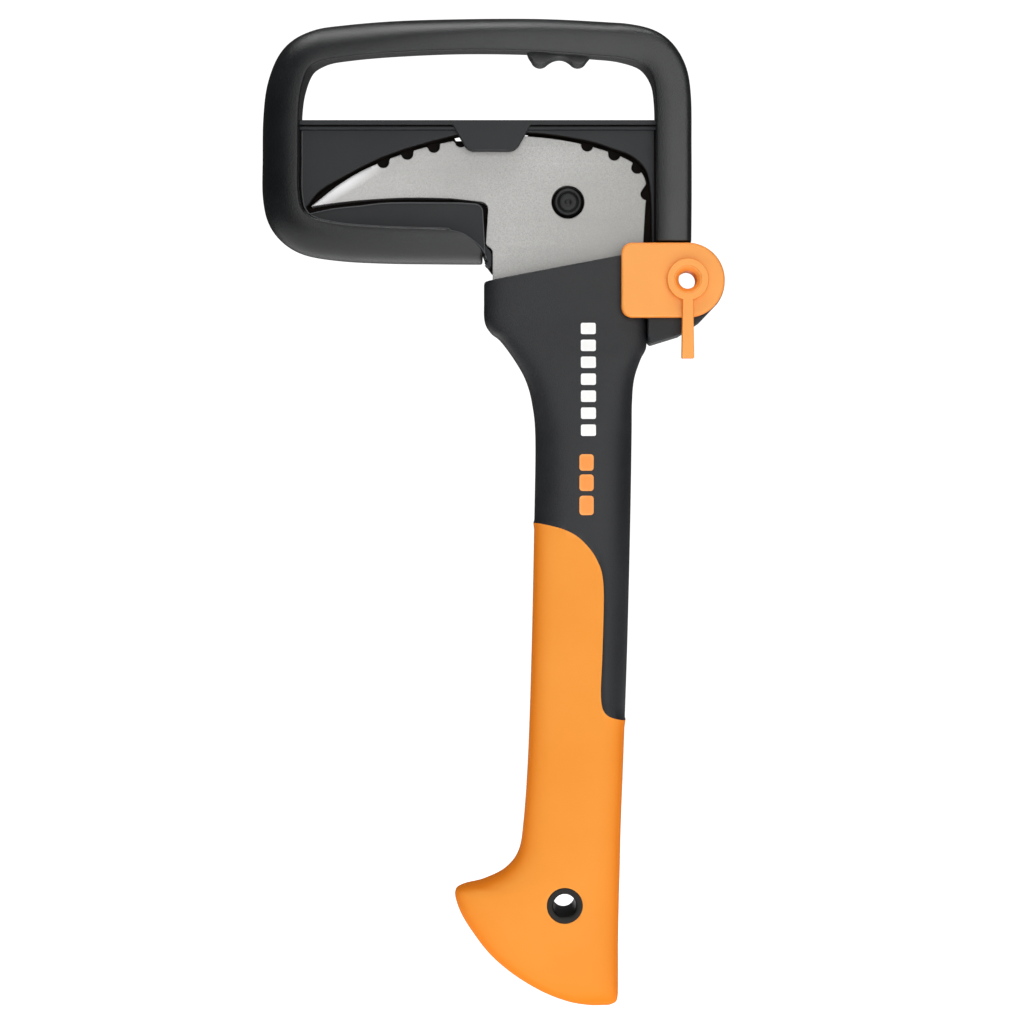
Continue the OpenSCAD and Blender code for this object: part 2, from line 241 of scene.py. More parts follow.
def plate_mesh(outer, holes, y0, y1, front=0.4, back=0.4, front_width=None, back_width=None, steps=5):
    """Vertices and faces of an outline in X and Z between two Y, its edges rounded.

    front and back are how deep the rounding goes, and the widths how far in it starts,
    as one number or one for each point of the outer loop.
    """
    loops = [counterclockwise(without_repeats(outer))]
    loops += [counterclockwise(without_repeats(h), False) for h in holes]
    vertices, faces, caps = [], [], [[], []]
    for which, loop in enumerate(loops):
        n = len(loop)

        def widths(width, depth):
            if width is None:
                return np.full(n, float(depth))
            if np.isscalar(width):
                return np.full(n, float(width))
            return np.array(width, float) if which == 0 else np.full(n, float(depth))

        wf, wb = widths(front_width, front), widths(back_width, back)
        rows = []
        for k in range(steps + 1):
            t = math.radians(90 * k / steps)
            rows.append((wf * (1 - math.sin(t)), y0 + front * (1 - math.cos(t))))
        for k in range(steps + 1):
            t = math.radians(90 * (1 - k / steps))
            rows.append((wb * (1 - math.sin(t)), y1 - back * (1 - math.cos(t))))
        base = len(vertices)
        for width, y in rows:
            vertices += [(p[0], y, p[1]) for p in moved_in(loop, width)]
        for r in range(len(rows) - 1):
            for i in range(n):
                j = (i + 1) % n
                a, b = base + r * n, base + (r + 1) * n
                faces.append((a + i, a + j, b + j, b + i))
        caps[0].append((base, n))
        caps[1].append((base + (len(rows) - 1) * n, n))
    for side in caps:
        index = [start + i for start, n in side for i in range(n)]
        rings = [[Vector((vertices[start + i][0], vertices[start + i][2], 0)) for i in range(n)]
                 for start, n in side]
        faces += [tuple(index[i] for i in tri) for tri in geometry.tessellate_polygon(rings)]
    return vertices, faces


def plate(name, outer, holes, y0, y1, material, slot, body=TOOL, node=None, **rounding):
    vertices, faces = plate_mesh(outer, holes, y0, y1, **rounding)
    build(name, vertices, faces, material, body, node, sharp=50, weighted=True)


def loft_mesh(rings):
    """Vertices and faces of a closed tube through rings that all have the same number of points."""
    n = len(rings[0])
    vertices = [tuple(p) for ring in rings for p in ring]
    faces = []
    for r in range(len(rings) - 1):
        for i in range(n):
            j = (i + 1) % n
            faces.append((r * n + i, r * n + j, (r + 1) * n + j, (r + 1) * n + i))
    faces.append(tuple(range(n)))
    faces.append(tuple((len(rings) - 1) * n + i for i in range(n)))
    return vertices, faces


def lathe_mesh(centre, profile, count=96):
    """Turns a profile of (radius, y) round the Y axis through a centre in X and Z.

    A profile that starts and ends at radius 0 is solid; any other is closed on itself.
    """
    vertices, faces = [], []
    index = []
    angles = [2 * math.pi * k / count for k in range(count)]
    for radius, y in profile:
        if radius < 1e-6:
            index.append([len(vertices)] * count)
            vertices.append((centre[0], y, centre[1]))
        else:
            index.append([len(vertices) + k for k in range(count)])
            vertices += [(centre[0] + radius * math.cos(a), y, centre[1] + radius * math.sin(a))
                         for a in angles]
    closed = profile[0][0] > 1e-6 and profile[-1][0] > 1e-6
    following = index[1:] + index[:1] if closed else index[1:]
    for a, b in zip(index, following):
        for k in range(count):
            j = (k + 1) % count
            corners = []
            for v in (a[k], a[j], b[j], b[k]):
                if v not in corners:
                    corners.append(v)
            if len(corners) > 2:
                faces.append(tuple(corners))
    return vertices, faces


def lathe(name, centre, profile, material, body=TOOL, node=None, count=96, sharp=35):
    vertices, faces = lathe_mesh(centre, profile, count)
    build(name, vertices, faces, material, body, node, sharp=sharp)


def fillet(centre, radius, start, end, steps=6):
    """Points of a rounding in a profile of (radius, y)."""
    return [tuple(p) for p in arc(centre, radius, start, end, steps)]


# ---------------------------------------------------------------- materials

def linear(rgb):
    """An sRGB colour from 0 to 255, as linear RGBA."""
    shares = [c / 255 for c in rgb]
    return tuple(c / 12.92 if c <= 0.04045 else ((c + 0.055) / 1.055) ** 2.4 for c in shares) + (1,)


class Nodes:
    """A material's node tree with short calls for what the finishes share."""

    def __init__(self, name):
        self.material = bpy.data.materials.new(name)
        self.material.use_nodes = True
        self.tree = self.material.node_tree
        self.shader = self.tree.nodes["Principled BSDF"]
        self.place = self.tree.nodes.new("ShaderNodeTexCoord").outputs["Object"]

    def link(self, a, b):
        self.tree.links.new(a, b)

    def noise(self, scale, detail=3, roughness=0.5, stretch=None):
        node = self.tree.nodes.new("ShaderNodeTexNoise")
        node.inputs["Scale"].default_value = scale
        node.inputs["Detail"].default_value = detail
        node.inputs["Roughness"].default_value = roughness
        source = self.place
        if stretch:
            mapping = self.tree.nodes.new("ShaderNodeMapping")
            mapping.inputs["Scale"].default_value = stretch
            self.link(source, mapping.inputs["Vector"])
            source = mapping.outputs["Vector"]
        self.link(source, node.inputs["Vector"])
        return node.outputs["Fac"]

    def ramp(self, value, low, high, from_low=0.0, from_high=1.0):
        """value from from_low..from_high to low..high, clamped."""
        node = self.tree.nodes.new("ShaderNodeMapRange")
        node.inputs["From Min"].default_value = from_low
        node.inputs["From Max"].default_value = from_high
        node.inputs["To Min"].default_value = low
        node.inputs["To Max"].default_value = high
        self.link(value, node.inputs["Value"])
        return node.outputs["Result"]

    def spread(self, noise, low=0, high=1):
        """A noise keeps near its middle: that part of it, spread to low..high."""
        return self.ramp(noise, low, high, 0.3, 0.7)

    def mix(self, factor, a, b):
        node = self.tree.nodes.new("ShaderNodeMix")
        node.data_type = "RGBA"
        for socket, value in ((node.inputs["A"], a), (node.inputs["B"], b)):
            if isinstance(value, tuple):
                socket.default_value = value
            else:
                self.link(value, socket)
        self.link(factor, node.inputs["Factor"])
        return node.outputs["Result"]

    def add(self, a, b, share=1.0):
        node = self.tree.nodes.new("ShaderNodeMath")
        node.operation = "MULTIPLY_ADD"
        self.link(b, node.inputs[0])
        node.inputs[1].default_value = share
        self.link(a, node.inputs[2])
        return node.outputs["Value"]

    def times(self, a, b):
        node = self.tree.nodes.new("ShaderNodeMath")
        node.operation = "MULTIPLY"
        self.link(a, node.inputs[0])
        self.link(b, node.inputs[1])
        return node.outputs["Value"]

    def along(self, direction):
        """How far a point lies along a direction, in metres."""
        node = self.tree.nodes.new("ShaderNodeVectorMath")
        node.operation = "DOT_PRODUCT"
        self.link(self.place, node.inputs[0])
        node.inputs[1].default_value = direction
        return node.outputs["Value"]

    def bump(self, height, strength, distance):
        node = self.tree.nodes.new("ShaderNodeBump")
        node.inputs["Strength"].default_value = strength
        node.inputs["Distance"].default_value = distance
        self.link(height, node.inputs["Height"])
        self.link(node.outputs["Normal"], self.shader.inputs["Normal"])

    def edges(self):
        """High on convex edges, from the mesh's own curvature."""
        node = self.tree.nodes.new("ShaderNodeNewGeometry")
        return self.ramp(node.outputs["Pointiness"], 0.0, 1.0, 0.515, 0.62)


# How strong the rim tone, a painted edge shade, gets, and between which values of Facing it comes in.
EDGE_SHADE_SHARE = 0.75
EDGE_SHADE_FACING = (0.03, 0.46)
# Where along X the ring's reflectivity falls off to the left: painted shade that makes the ring's left
# side read darker; the plastic is the same all round.
SHADE_LEFT_X = (-105, -20)
TO_RIGHT = (1, 0, 0)


def moulded(name, dark, light, worn, roughness, grain_scale, grain_depth, specular=0.5, mottle_scale=45,
            rim=None, shade_left_specular=None):
    """Moulded plastic: eroded grain, cloudy tone, edges rubbed lighter.

    rim is a deeper tone mixed in where the surface turns away from the eye: painted edge shade.
    dull is the reflectivity at the left end of the ring, which rises to specular at SHADE_LEFT_X[1]:
    painted shade on the ring's left side.
    """
    n = Nodes(name)
    cloud = n.noise(mottle_scale, 4)
    grain = n.noise(grain_scale, 2, 0.6)
    body = n.mix(n.spread(cloud), linear(dark), linear(light))
    rubbed = n.times(n.edges(), n.spread(n.noise(350, 3), 0.2, 0.8))
    colour = n.mix(rubbed, body, linear(worn))
    # Painted edge shade: a deeper tone where the surface turns away from the eye.
    if rim:
        facing = n.tree.nodes.new("ShaderNodeLayerWeight")
        facing.inputs["Blend"].default_value = 0.5
        painted_edge_shade = n.ramp(facing.outputs["Facing"], 0, EDGE_SHADE_SHARE, EDGE_SHADE_FACING[0], EDGE_SHADE_FACING[1])
        colour = n.mix(painted_edge_shade, colour, linear(rim))
    n.link(colour, n.shader.inputs["Base Color"])
    rough = n.add(n.spread(cloud, roughness - 0.05, roughness + 0.05), grain, 0.06)
    n.link(rough, n.shader.inputs["Roughness"])
    n.shader.inputs["Specular IOR Level"].default_value = specular
    # Painted shade: the ring's reflectivity falls towards its left end, so that side reads darker.
    if shade_left_specular:
        shade_left_shine = n.ramp(n.along(TO_RIGHT), shade_left_specular, specular, SHADE_LEFT_X[0] * MM, SHADE_LEFT_X[1] * MM)
        n.link(shade_left_shine, n.shader.inputs["Specular IOR Level"])
    n.bump(n.add(grain, cloud, 0.3), 0.6, grain_depth)
    return n.material


def bare_steel():
    """Bead-blasted plate: fine grit, faint mottling and flecks; painted light towards the beak, painted
    shade towards the handle, and the beak's ground edge is brighter with a painted highlight.
    """
    n = Nodes("blasted_steel")
    grit = n.noise(2600, 2, 0.7)
    cloud = n.noise(28, 5, 0.6)
    streak = n.noise(90, 3, 0.6, stretch=(0.15, 1, 1))
    fleck = n.ramp(n.noise(1300, 2, 0.8), 0.45, 0, 0.27, 0.33)
    tone = n.add(n.spread(cloud), n.spread(streak, -0.5, 0.5), 0.4)
    body = n.mix(tone, linear((170, 169, 167)), linear((190, 189, 187)))
    gritty = n.mix(n.ramp(grit, 0, 1, 0.35, 0.65), linear((160, 159, 157)), body)
    worn = n.mix(n.edges(), gritty, linear((225, 226, 228)))
    flecked = n.mix(fleck, worn, linear((122, 119, 116)))
    x = n.along(TO_RIGHT)
    # Painted light: lighter towards the beak.
    painted_light_to_beak = n.ramp(x, STEEL_LIT_SHARE, 0, STEEL_LIT_X[0] * MM, STEEL_LIT_X[1] * MM)
    lit = n.mix(painted_light_to_beak, flecked, linear((222, 221, 219)))
    # Painted shade: darker along a direction down to the handle.
    painted_shade_to_neck = n.ramp(n.along(STEEL_SHADE_ACROSS), 0, STEEL_SHADE_SHARE,
                     STEEL_SHADE[0] * MM, STEEL_SHADE[1] * MM)
    shaded = n.mix(painted_shade_to_neck, lit, linear((140, 139, 135)))
    # Painted highlight: near white along the beak's ground edge, fading along X.
    highlight_near_edge = n.ramp(n.along(BEAK_ACROSS), 0, 1, BEAK_SHINE[0] * MM, BEAK_SHINE[1] * MM)
    highlight_on_beak = n.ramp(x, 1, 0, BEAK_FADE[0] * MM, BEAK_FADE[1] * MM)
    ground = n.mix(n.times(highlight_near_edge, highlight_on_beak), shaded, linear((246, 246, 247)))
    n.link(ground, n.shader.inputs["Base Color"])
    n.shader.inputs["Metallic"].default_value = 0.5
    n.link(n.add(n.spread(cloud, 0.46, 0.54), grit, 0.08), n.shader.inputs["Roughness"])
    n.bump(n.add(grit, fleck, -0.5), 0.35, 0.00003)
    return n.material


def plated_steel(name, tone, roughness):
    n = Nodes(name)
    cloud = n.noise(400, 4)
    colour = n.mix(n.spread(cloud), linear(tone), linear([c * 1.3 for c in tone]))
    n.link(colour, n.shader.inputs["Base Color"])
    n.shader.inputs["Metallic"].default_value = 0.8
    rough = n.add(n.spread(cloud, roughness - 0.08, roughness + 0.08), cloud, 0.02)
    n.link(rough, n.shader.inputs["Roughness"])
    n.bump(cloud, 0.3, 0.00003)
    return n.material


# Direction across the beak's back edge, where along it the ground band begins and ends, and where the
# band fades along X. The band's near-white colour is a painted highlight on the ground edge.
BEAK_ACROSS = (-0.513, 0.0, 0.859)
BEAK_SHINE = (286.6, 290.2)
BEAK_FADE = (-86, -66)
# Painted light and shade on the plate: lighter towards the beak, and darker along a direction down to
# the handle.
STEEL_LIT_SHARE = 0.28
STEEL_LIT_X = (-100, -45)
STEEL_SHADE_SHARE = 0.5
STEEL_SHADE_ACROSS = (0.75, 0, -0.66)
STEEL_SHADE = (-200, -162)

steel = bare_steel()
core_black = moulded("core_nylon", (21, 22, 25), (26, 28, 31), (48, 50, 52), 0.46, 2300, 0.00016, 0.38)
# The grip's rim colour is painted edge shade.
grip_orange = moulded("grip_elastomer", (228, 142, 54), (232, 148, 62), (238, 163, 82), 0.7, 3200,
                      0.00002, specular=0.08, mottle_scale=25, rim=(228, 119, 4))
# The ring's lower reflectivity at its left end is painted shade.
ring_black = moulded("ring_plastic", (12, 13, 15), (16, 18, 20), (38, 40, 42), 0.35, 2300,
                     0.00016, specular=0.62, shade_left_specular=0.38)
guard_black = moulded("guard_plastic", (21, 23, 25), (26, 28, 31), (52, 55, 58), 0.55, 3600,
                      0.00003, specular=0.42)
# A lighter copy of the guard plastic: painted highlight along the bead.
bead_highlight_black = moulded("guard_bead_highlight", (54, 56, 59), (62, 64, 67), (84, 86, 89), 0.4, 3600, 0.00002)
# Brown-black: painted shade on the guard's own plastic, for the pocket's walls, the grooves round the
# web's face and under the rail, and the sheet over the floor.
pocket_shade_black = moulded("pocket_painted_shade", (19, 14, 10), (27, 20, 15), (44, 38, 34), 0.7, 3600,
                       0.00003, specular=0.15)
bush_black = moulded("bush_nylon", (13, 12, 9), (18, 17, 13), (38, 37, 32), 0.42, 3000,
                     0.00003, specular=0.27)
button_black = moulded("button_rubber", (10, 11, 12), (15, 16, 17), (34, 36, 38), 0.45, 3000,
                       0.00004, specular=0.35)
# The latch's rim colour is painted edge shade.
latch_orange = moulded("latch_acetal", (234, 156, 78), (238, 161, 84), (242, 174, 100), 0.42, 3400,
                       0.00002, specular=0.2, mottle_scale=30, rim=(236, 128, 30))
screw_black = plated_steel("black_zinc", (52, 52, 54), 0.4)
print_white = moulded("printed_white", (228, 228, 226), (240, 240, 238), (250, 250, 250), 0.5,
                      3000, 0.00001)
print_orange = moulded("printed_orange", (236, 138, 50), (244, 148, 60), (250, 170, 90), 0.5,
                       3000, 0.00001)

# ---------------------------------------------------------------- blade

BLADE_BACK = [
    (-100.8, 277.2), (-89.4, 286.1), (-77.4, 292.9), (-62, 298.8), (-45.5, 303), (-28, 305.2),
    (-13.6, 305), (2.3, 303), (16.3, 299.4), (26.4, 295.2), (31, 290.6), (32.9, 285), (32.4, 276)]
BEAK_UNDER = [(-33.2, 279.2), (-45, 280.2), (-62, 280.5), (-80, 279.6), (-92, 278.3), (-100.8, 277)]
NOTCHES = [
    (-72.2, 294.8, 1), (-62.6, 298.1, 1), (-52, 300.9, 1), (-41.2, 303.1, 1),
    (9.2, 301.4, -1), (20, 297.8, -1), (29.2, 292.5, -1), (32.9, 282, -1)]
NOTCH_R = 2.35
# The notches near the neck lean over by this angle, from NECK_X on.
NOTCH_TURN = -38
NECK_X = 24
# The beak's upper edge is ground from the tip to BEAK_GROUND_END, wider the farther from the tip.
BEAK_GROUND_END = -77
BEAK_GROUND_LINE = (277.3, 0.124)
GROUND_GROWTH = 0.28
GROUND_WIDTH = 2.6
EDGE_WIDTH = 0.3
LEAST_WIDTH = 0.12
BUTTON_HOLE_R = 6.5


def notch_path(x, z, steep):
    """From the gentle side round the bottom to the steep side, as the notch is cut."""
    turn = math.radians(NOTCH_TURN if x > NECK_X else 0)
    path = [(-4.7, 2.1), (-3.9, 1.33), (-3, 0.35), (-2.3, -0.5)]
    path += [tuple(p) for p in arc((0, 0), NOTCH_R, 205, 352, 12)]
    path += [(NOTCH_R + 0.05, 0.6), (NOTCH_R + 0.1, 1.6), (NOTCH_R + 0.1, 3.6)]
    out = []
    for u, v in path:
        u *= steep
        out.append((x + u * math.cos(turn) - v * math.sin(turn),
                    z + u * math.sin(turn) + v * math.cos(turn)))
    return np.array(out)


def notched(loop):
    """The blade's outline with each notch cut out of it."""
    for x, z, steep in NOTCHES:
        path = notch_path(x, z, steep)
        hit = [inside(p, path) for p in loop]
        kept = [p for p in path if inside(p, loop)]
        first = hit.index(True)
        last = len(hit) - 1 - hit[::-1].index(True)
        if np.linalg.norm(kept[0] - loop[first - 1]) > np.linalg.norm(kept[-1] - loop[first - 1]):
            kept = kept[::-1]
        loop = np.vstack([loop[:first], kept, loop[last + 1:]])
    return loop


def blade():
    y0, y1 = depth_of("blade")
    edge = np.vstack([
        smooth(BLADE_BACK, 10),
        [(31.6, 262), (31.2, 256), (-28.5, 245.4)],
        [(-28.6, 259.2), (-29.2, 260.2), (-30.8, 261.4), (-31.3, 262.4), (-30.9, 268), (-30.5, 274)],
        arc((-33.4, 275.9), 3, -6, 86, 6),
        smooth(BEAK_UNDER[1:], 8)])
    edge = notched(resampled(edge, 0.6))
    edge = counterclockwise(without_repeats(edge, 0.05))
    tip = np.array(BLADE_BACK[0])
    level, slope = BEAK_GROUND_LINE
    ground = []
    for p in edge:
        along = np.linalg.norm(p - tip)
        upper = p[1] > level + slope * (p[0] - tip[0]) and p[0] < BEAK_GROUND_END
        width = min(GROUND_WIDTH, GROUND_GROWTH * along) if upper else EDGE_WIDTH
        ground.append(max(LEAST_WIDTH, width))
    ground = np.array(ground)
    # The width changes gently from point to point.
    for _ in range(3):
        ground = np.minimum(ground, (np.roll(ground, 1) + ground + np.roll(ground, -1)) / 3 + 0.15)
    hole = circle(centre_of("blade_button"), BUTTON_HOLE_R)
    plate("blade_plate", edge, [hole], y0, y1, steel, "steel", node="blade",
          front=0.35, back=0.35, front_width=ground, back_width=ground, steps=4)


# ---------------------------------------------------------------- handle

# Left x, left z, right x, right z and half depth of each rib, head to pommel.
RIBS = [
    (-32, 246.6, 32.8, 258.9, 9.8), (-32, 239, 32.8, 245, 9.8), (-31.8, 231.4, 32.8, 233, 9.8),
    (-29.4, 227, 32.8, 226.4, 10.2), (-25.4, 223.6, 32.6, 220.4, 10.6), (-19.8, 216, 30.4, 215.8, 11.2),
    (-15.4, 208, 27.9, 208, 11.6), (-12.8, 198.5, 27.1, 198.5, 11.8), (-11.5, 184, 27, 184, 12),
    (-12, 148, 26.4, 148, 12.4), (-13, 100, 25.2, 100, 12.8), (-14.4, 58, 23.7, 58, 13),
    (-16.3, 31, 22.7, 31, 13), (-18.4, 19.4, 22.4, 19, 13), (-24, 12.3, 22.2, 10, 13),
    (-33, 7.9, 22, 4, 13), (-41, 5.9, 21.9, -1, 13), (-43.6, 3.2, 21.8, -5.5, 13),
    (-41.6, -4, 21.7, -11, 13), (-36.8, -12, 21.6, -17, 12.8), (-29.5, -21.3, 21.6, -24, 12.3),
    (-20, -29.3, 21.6, -30, 11.2), (-9, -35.9, 21.6, -34.6, 9.4), (1, -39.9, 21.5, -37.8, 6.6),
    (9, -41.6, 20.8, -40.4, 3.2), (13.4, -42, 18.2, -41.9, 0.6)]
GRIP_LINE = [
    (-14, 151), (-8.9, 150.5), (0.2, 148.1), (6.8, 144), (12.6, 136.4), (15.2, 126), (14.8, 100),
    (14.2, 82), (16.4, 75.2), (23, 72.6)]
SECTION_Z = [186, 226]
SECTION_N = [2.9, 5.5]
SEAM_WIDTH = 0.8
SEAM_DEPTH = 0.35
HEAD_ROUNDING = 0.7
BUSH_R = 7.1


def handle_rings():
    angles = np.linspace(0, 360, 128, endpoint=False)

    def ring(rib, inset, shift=0.0):
        left, right = np.array([rib[0], rib[1]]), np.array([rib[2], rib[3]])
        middle, half = (left + right) / 2, (right - left) / 2
        size = np.linalg.norm(half)
        u = half / size
        down = np.array([u[1], -u[0]]) * shift
        fullness = float(np.interp(middle[1], SECTION_Z, SECTION_N))
        s = superellipse(size - inset, max(rib[4] - inset, 0.1), fullness, angles)
        x = middle[0] + u[0] * s[:, 0] + down[0]
        z = middle[1] + u[1] * s[:, 0] + down[1]
        return np.column_stack([x, s[:, 1], z])

    line = smooth(RIBS, 10)
    rings = []
    for k in range(6):
        t = math.radians(90 * k / 5)
        rings.append(ring(line[0], HEAD_ROUNDING * (1 - math.sin(t)), HEAD_ROUNDING * (1 - math.cos(t))))
    rings += [ring(r, 0.02) for r in line[2:-1]]
    return rings


def prism(name, loop, y0, y1):
    loop = counterclockwise(loop)
    n = len(loop)
    vertices = [(p[0], y0, p[1]) for p in loop] + [(p[0], y1, p[1]) for p in loop]
    faces = [tuple(range(n)), tuple(range(n, 2 * n))]
    faces += [(i, (i + 1) % n, n + (i + 1) % n, n + i) for i in range(n)]
    return raw_object(name, vertices, faces)


def raw_object(name, vertices, faces):
    mesh = bpy.data.meshes.new(name)
    mesh.from_pydata([Vector(v) * MM for v in vertices], [], faces)
    bm = bmesh.new()
    bm.from_mesh(mesh)
    bmesh.ops.recalc_face_normals(bm, faces=bm.faces)
    bm.to_mesh(mesh)
    bm.free()
    return added(name, mesh)


def boolean(obj, other, operation):
    """The mesh of obj cut by other, as new mesh data."""
    modifier = obj.modifiers.new("cut", "BOOLEAN")
    modifier.solver = "EXACT"
    modifier.operation = operation
    modifier.object = other
    bpy.context.view_layer.update()
    graph = bpy.context.evaluated_depsgraph_get()
    mesh = bpy.data.meshes.new_from_object(obj.evaluated_get(graph))
    obj.modifiers.remove(modifier)
    return mesh


def seam_distance(points, seam):
    """Distance in X and Z from each point to the seam's polyline."""
    best = np.full(len(points), 1e9)
    for a, b in zip(seam[:-1], seam[1:]):
        d = b - a
        t = np.clip(((points - a) @ d) / (d @ d), 0, 1)
        best = np.minimum(best, np.linalg.norm(points - (a + t[:, None] * d), axis=1))
    return best


def handle():
    rings = handle_rings()
    vertices, faces = loft_mesh(rings)
    whole = raw_object("handle_whole", vertices, faces)
    seam = smooth(GRIP_LINE, 12)
    seam = np.vstack([[(-60, 151)], seam, [(60, 72.6)]])
    black = prism("black_zone", np.vstack([seam, [(60, 280), (-60, 280)]]), -20, 20)
    bush = centre_of("hang_bush")
    bore = prism("bush_bore", circle(bush, BUSH_R, 96), -20, 20)
    tree = BVHTree.FromPolygons([Vector(v) * MM for v in vertices], faces)
    for name, operation, material, slot, node in (
            ("handle_core_shell", "INTERSECT", core_black, "core_composite", "handle_core"),
            ("soft_grip_sleeve", "DIFFERENCE", grip_orange, "soft_grip", "soft_grip")):
        mesh = boolean(whole, black, operation)
        obj = added(name, mesh)
        if operation == "DIFFERENCE":
            mesh = boolean(obj, bore, "DIFFERENCE")
            obj.data = mesh
        co = np.array([v.co for v in mesh.vertices]) / MM
        distance = seam_distance(co[:, [0, 2]], seam)
        for i in np.nonzero(distance < SEAM_WIDTH)[0]:
            place = mesh.vertices[i].co
            _, normal, _, _ = tree.find_nearest(place)
            share = (1 - distance[i] / SEAM_WIDTH) ** 1.5
            mesh.vertices[i].co = place - normal * (SEAM_DEPTH * share * MM)
        finish_piece(obj, material, TOOL, node, 42, False)
    for helper in (whole, black, bore):
        bpy.data.objects.remove(helper)
    return tree


def hang_bush():
    centre = centre_of("hang_bush")
    front, back = depth_of("hang_bush")
    outer, inner, lead, lip = BUSH_R, 4.5, 1.1, 0.35
    profile = [(outer - lip, front), (inner + lead + 0.25, front), (inner + lead, front + 0.1)]
    profile += fillet((inner + lead, front + 0.1 + lead), lead, 270, 180, 6)
    profile += [(inner, back - lead - 0.1)]
    profile += fillet((inner + lead, back - 0.1 - lead), lead, 180, 90, 6)
    profile += [(inner + lead + 0.25, back), (outer - lip, back)]
    profile += fillet((outer - lip, back - lip), lip, 90, 0, 4)
    profile += fillet((outer - lip, front + lip), lip, 0, -90, 4)
    lathe("hang_bush_tube", centre, profile, bush_black, node="hang_bush")


def marks(tree):
    """Plain printed bars where the handle has its print: white down the middle, orange below."""

    def bar(name, x0, x1, z0, z1, material, corner):
        outline = resampled(rounded([(x0, z0), (x1, z0), (x1, z1), (x0, z1)], corner, 4), 0.8)
        n = len(outline)
        middle = outline.mean(0)
        shells = []
        for lift in (-0.05, 0.03):
            shell = []
            for share in (0, 0.34, 0.67, 1):
                for p in (middle + (outline - middle) * share if share else [middle]):
                    hit = tree.ray_cast(Vector((p[0], -40, p[1])) * MM, Vector((0, 1, 0)))[0]
                    shell.append((p[0], hit.y / MM - lift, p[1]))
            shells.append(shell)
        vertices = shells[0] + shells[1]
        size = len(shells[0])
        faces = []
        for base in (0, size):
            faces += [(base, base + 1 + i, base + 1 + (i + 1) % n) for i in range(n)]
            for row in (0, 1):
                a, b = base + 1 + row * n, base + 1 + (row + 1) * n
                faces += [(a + i, a + (i + 1) % n, b + (i + 1) % n, b + i) for i in range(n)]
        rim = 1 + 2 * n
        faces += [(rim + i, rim + (i + 1) % n, size + rim + (i + 1) % n, size + rim + i)
                  for i in range(n)]
        build(name, vertices, faces, material, sharp=60)

    top, bottom, count = 230, 183, 7
    step = (top - bottom) / count
    for k in range(count):
        z1 = top - k * step
        bar(f"print_bar_{k + 1}", 6.4, 12.3, z1 - step + 2.2, z1, print_white, 0.7)
    for k, (z0, z1) in enumerate([(171.5, 178), (163.5, 170), (154, 161.6)]):
        bar(f"print_block_{k + 1}", 5.8, 11.4, z0, z1, print_orange, 1.2)


# ---------------------------------------------------------------- guard

RING_LINE = [
    (-32.6, 260.6, 6.2), (-50, 260.9, 6.4), (-72, 261.4, 6.6), (-90, 262.6, 6.8), (-103, 265.4, 7.2),
    (-110.2, 271.6, 7.6), (-112.7, 281, 7.75), (-112.8, 296, 7.75), (-112.6, 312, 7.7), (-111, 325, 7.6),
    (-106.4, 335.6, 7.4), (-98, 341, 7.2), (-86, 343.1, 7), (-66, 344.7, 6.9), (-40, 345.5, 6.7),
    (-12, 345.3, 6.9), (10, 344, 7.2), (24, 342.6, 7.3), (34.6, 338.9, 7.4), (40.8, 331, 7.3),
    (43.1, 320, 7.2), (43.4, 300, 7.15), (43.5, 281, 7.1), (43.4, 262, 7.05)]
RING_DEPTH = 12
RING_N = 2.8
SPLIT_Y = 6
PARTING = 0.1
SKIN = 0.03
DOME_DROP = 1.2
# Where the ring's face leans and how soft its inner corner is, by share of its length.
CREST_AT = [0, 0.14, 0.24, 0.54, 0.62, 0.69, 0.84, 1]
CREST = [0.62, 0.7, 0.85, 0.85, 0.35, 0.1, 0.05, 0.1]
SOFT_AT = [0, 0.42, 0.52, 0.72, 0.80, 1]
SOFT = [0.6, 0.8, 1.4, 1.4, 0.6, 0.6]
LEAN_AT = [0, 0.42, 0.50, 0.72, 0.80, 1]
LEAN = [0, 0, 1.7, 1.7, 0, 0]
DOME_AT = [0, 0.2, 0.5, 0.6, 0.72, 0.84, 1]
DOME_N = [2.2, 2.05, 2.05, 2.25, 2.5, 6, 6]
SLIM_AT = [0.42, 0.5, 0.72, 0.8]
SLIM = [0, 0.4, 0.4, 0]
# The lower bar's end is cut back along this curve, and the jaw's panel fills it.
JAW_CURL = [(-47, 266.9), (-45, 266.3), (-40.6, 265.1), (-36.3, 262.2), (-33.1, 259), (-31.5, 255.2)]
EDGE_BITE = 0.1
BEAD_WIDTH = 0.5
WEB_FRONT, RAIL_FRONT, FLOOR_FRONT, GUARD_BACK = -4.8, -6.6, 3, 5.2
RAIL_TOP = 310.8
POCKET_UPPER = [
    (-102.6, 276.4), (-97.4, 283), (-88, 288.8), (-76, 295), (-64, 299.6), (-50, 303.6), (-40, 305.8),
    (-28, 306.6), (-8, 305.9), (10, 302.9), (19, 300), (26, 297.4), (31.2, 293.2), (33.6, 288),
    (34.6, 280)]
JAW_UPPER = [(-36, 277.7), (-41.5, 278.3), (-69, 278.3), (-81, 277.1), (-92, 275.9), (-103, 273.6)]
# The places along the ring where a screw holds its back cover.
SCREW_STATIONS = [2, 7, 10, 14, 18, 22]
SCREW_SEAT = 8.4
COUNTERBORE_R = 3.0
# The counterbore's cutter ends behind the ring's back.
COUNTERBORE_END = RING_DEPTH + 2
SCREW_HEAD_R = 2.8
SCREW_R = 1.4
# How far the web's face is set in from the ring, which leaves a groove; the web's body shows in it in
# painted shade.
GROOVE = 0.55


def ring_stations(steps):
    line = smooth(RING_LINE, steps)
    return line, *directions(line[:, :2])


def wall_width(half_width, y):
    """Half width of the ring's straight sides at a depth y behind the middle."""
    return half_width * (1 - (y / RING_DEPTH) ** RING_N) ** (1 / RING_N)


